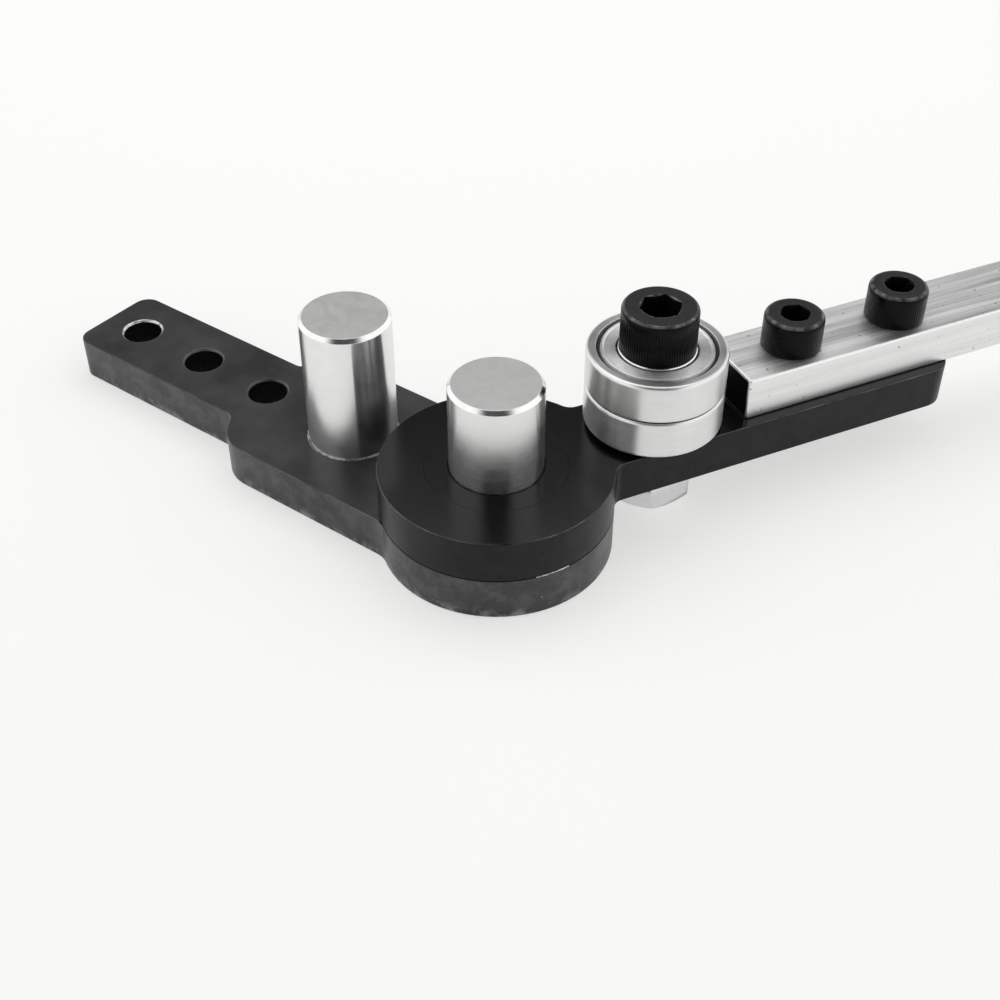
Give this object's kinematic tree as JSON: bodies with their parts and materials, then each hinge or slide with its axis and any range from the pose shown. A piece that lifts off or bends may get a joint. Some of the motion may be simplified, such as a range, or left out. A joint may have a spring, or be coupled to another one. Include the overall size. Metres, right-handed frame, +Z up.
{
  "type": "scroll bender",
  "caption": "Bench scroll bender: a lever arm with a ball bearing roller swings around a fixed pivot pin, with a second fixed pin as the stop for the stock.",
  "frame": {"origin": "the pivot axis where it meets the underside of the lower plate", "axes": "+Z up along the pivot axis, -X along the lower plate towards the end of its tail; the arm rests 61.245 degrees from +X towards +Y"},
  "size_m": [0.298, 0.3408, 0.049],
  "materials": {
    "dark_plate": "sawn and deburred plate with a dark semi-gloss mill skin",
    "bush_steel": "turned bush, blackened, slightly glossier than the plate",
    "polished_pin": "polished ground pin with a matt faced top",
    "drawn_bar": "bright drawn bar with lengthwise streaks",
    "black_oxide": "black oxide with bright wear on the rims",
    "nut_steel": "plain zinc-grey steel",
    "bearing_ring": "ground bearing steel",
    "bearing_ball": "polished bearing steel",
    "bearing_cage": "pressed steel",
    "bearing_shield": "pressed bright steel"
  },
  "bodies": {
    "base": {"base_plate": "dark_plate", "centre_pin": "polished_pin", "stop_pin": "polished_pin"},
    "arm": {"swing_arm": "dark_plate", "pivot_bush": "bush_steel", "lever_bar": "drawn_bar", "lever_screw_front": "black_oxide", "lever_screw_rear": "black_oxide", "roller_screw": "black_oxide", "roller_washer": "nut_steel", "roller_nut": "nut_steel", "lower_inner_race": "bearing_ring", "upper_inner_race": "bearing_ring"},
    "lower_roller": {"lower_outer_race": "bearing_ring", "lower_shield_top": "bearing_shield", "lower_shield_bottom": "bearing_shield"},
    "lower_ball_set": {"lower_balls": "bearing_ball", "lower_cage": "bearing_cage"},
    "upper_roller": {"upper_outer_race": "bearing_ring", "upper_shield_top": "bearing_shield", "upper_shield_bottom": "bearing_shield"},
    "upper_ball_set": {"upper_balls": "bearing_ball", "upper_cage": "bearing_cage"}
  },
  "joints": [
    {"name": "arm_swing", "type": "hinge", "parent": "base", "child": "arm", "pos_m": [0, 0, 0], "axis": [0, 0, 1], "range_deg": [-186, 63.5]},
    {"name": "lower_roller_spin", "type": "hinge", "parent": "arm", "child": "lower_roller", "pos_m": [0.0178, 0.03244, 0.03], "axis": [0, 0, 1], "continuous": true},
    {"name": "lower_ball_set_turn", "type": "hinge", "parent": "arm", "child": "lower_ball_set", "pos_m": [0.0178, 0.03244, 0.03], "axis": [0, 0, 1], "continuous": true},
    {"name": "upper_roller_spin", "type": "hinge", "parent": "arm", "child": "upper_roller", "pos_m": [0.0178, 0.03244, 0.03], "axis": [0, 0, 1], "continuous": true},
    {"name": "upper_ball_set_turn", "type": "hinge", "parent": "arm", "child": "upper_ball_set", "pos_m": [0.0178, 0.03244, 0.03], "axis": [0, 0, 1], "continuous": true}
  ],
  "couplings": [
    {"joint": "lower_ball_set_turn", "follows": "lower_roller_spin", "ratio": 0.6161},
    {"joint": "upper_ball_set_turn", "follows": "upper_roller_spin", "ratio": 0.6161}
  ]
}
